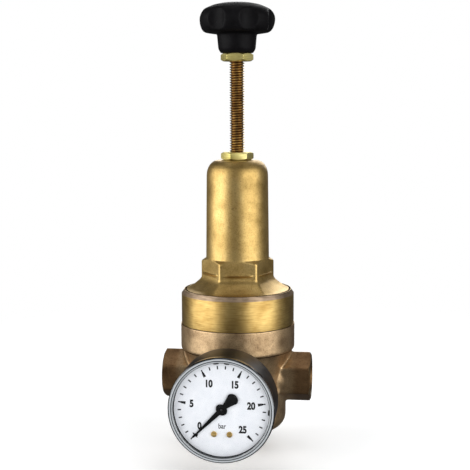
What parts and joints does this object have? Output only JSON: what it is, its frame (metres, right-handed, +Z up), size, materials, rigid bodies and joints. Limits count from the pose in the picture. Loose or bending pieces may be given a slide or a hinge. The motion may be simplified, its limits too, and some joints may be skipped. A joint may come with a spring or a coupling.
{
  "type": "pressure reducing valve",
  "caption": "Spring-loaded diaphragm pressure reducing valve with threaded pipe ends, tall spring bonnet, adjusting spindle with star grip and a round back-connected pressure gauge.",
  "frame": {"origin": "centre of the flat face under the bottom plug, on the spindle's axis", "axes": "+Z up along the spindle, +X along the pipe from inlet to outlet, the gauge faces -Y"},
  "size_m": [0.095, 0.125, 0.282],
  "materials": {
    "cast_bronze": "sand-cast gunmetal, blasted",
    "forged_brass": "forged and blasted, ring turned bright",
    "turned_brass": "turned",
    "nut_brass": "machined bright",
    "spindle_brass": "rolled thread",
    "zinc_steel": "zinc plated",
    "stainless_steel": "turned",
    "spring_steel": "dark lacquered wire",
    "copper": "soft, dull",
    "rubber": "moulded nitrile",
    "black_plastic": "matt moulded",
    "gloss_black": "glossy moulded",
    "clear_plastic": "clear moulded",
    "dial_white": "matt white, printed scale",
    "pointer_black": "matt black"
  },
  "bodies": {
    "valve": {"valve_body": "cast_bronze", "spring_bonnet": "forged_brass", "slip_ring": "turned_brass", "diaphragm": "rubber", "seat_ring": "stainless_steel", "seat_ring_seal": "rubber", "closing_spring": "stainless_steel", "bottom_plug": "turned_brass", "bottom_plug_seal": "rubber", "set_spring": "spring_steel", "gauge_port_plug": "turned_brass", "gauge_port_plug_seal": "copper", "gauge_seal": "copper", "gauge_socket": "turned_brass", "gauge_case": "gloss_black", "gauge_window": "clear_plastic", "gauge_dial": "dial_white", "dial_screws": "nut_brass", "stop_pin": "pointer_black", "sector_arbor": "stainless_steel", "movement_frame": "turned_brass", "hairspring": "copper", "bourdon_tube": "copper", "tube_tip": "turned_brass"},
    "spring_follower": {"upper_spring_plate": "zinc_steel"},
    "spindle": {"adjusting_spindle": "spindle_brass", "knob_nut": "nut_brass", "star_knob": "black_plastic", "knob_insert": "turned_brass"},
    "locknut": {"spindle_locknut": "nut_brass"},
    "stem": {"diaphragm_washer": "turned_brass", "lower_spring_plate": "zinc_steel", "diaphragm_nut": "zinc_steel", "valve_stem": "stainless_steel", "disc_holder": "turned_brass", "valve_disc": "rubber"},
    "pointer_shaft": {"pointer": "pointer_black", "pointer_arbor": "stainless_steel"},
    "sector": {"sector_gear": "turned_brass"},
    "sector_link": {"link": "turned_brass"}
  },
  "joints": [
    {"name": "spindle_travel", "type": "slide", "parent": "valve", "child": "spring_follower", "axis": [0, 0, 1], "range_m": [-0.02858, 0], "deforming": ["set_spring"]},
    {"name": "knob_turn", "type": "hinge", "parent": "spring_follower", "child": "spindle", "pos_m": [0, 0, 0.16], "axis": [0, 0, 1], "range_deg": [-6480, 0]},
    {"name": "locknut_turn", "type": "hinge", "parent": "valve", "child": "locknut", "pos_m": [0, 0, 0.184], "axis": [0, 0, 1], "range_deg": [0, 360]},
    {"name": "stem_lift", "type": "slide", "parent": "valve", "child": "stem", "axis": [0, 0, 1], "range_m": [-0.002, 0], "stiffness_N_per_m": 1500, "springref_m": 0.004, "deforming": ["diaphragm", "closing_spring"]},
    {"name": "pointer_turn", "type": "hinge", "parent": "valve", "child": "pointer_shaft", "pos_m": [0, -0.079, 0.043], "axis": [0, 1, 0], "range_deg": [0, 270.1]},
    {"name": "sector_swing", "type": "hinge", "parent": "valve", "child": "sector", "pos_m": [0, -0.079, 0.034], "axis": [0, 1, 0], "range_deg": [-33.75, 0], "stiffness_Nm_per_rad": 0.02},
    {"name": "link_swing", "type": "hinge", "parent": "sector", "child": "sector_link", "pos_m": [0, -0.079, 0.028], "axis": [0, 1, 0], "range_deg": [0, 33.76]}
  ],
  "couplings": [
    {"joint": "spindle_travel", "follows": "knob_turn", "m_per_rad": 0.00025266},
    {"joint": "pointer_turn", "follows": "sector_swing", "ratio": -8},
    {"joint": "link_swing", "follows": "sector_swing", "ratio": -1}
  ]
}
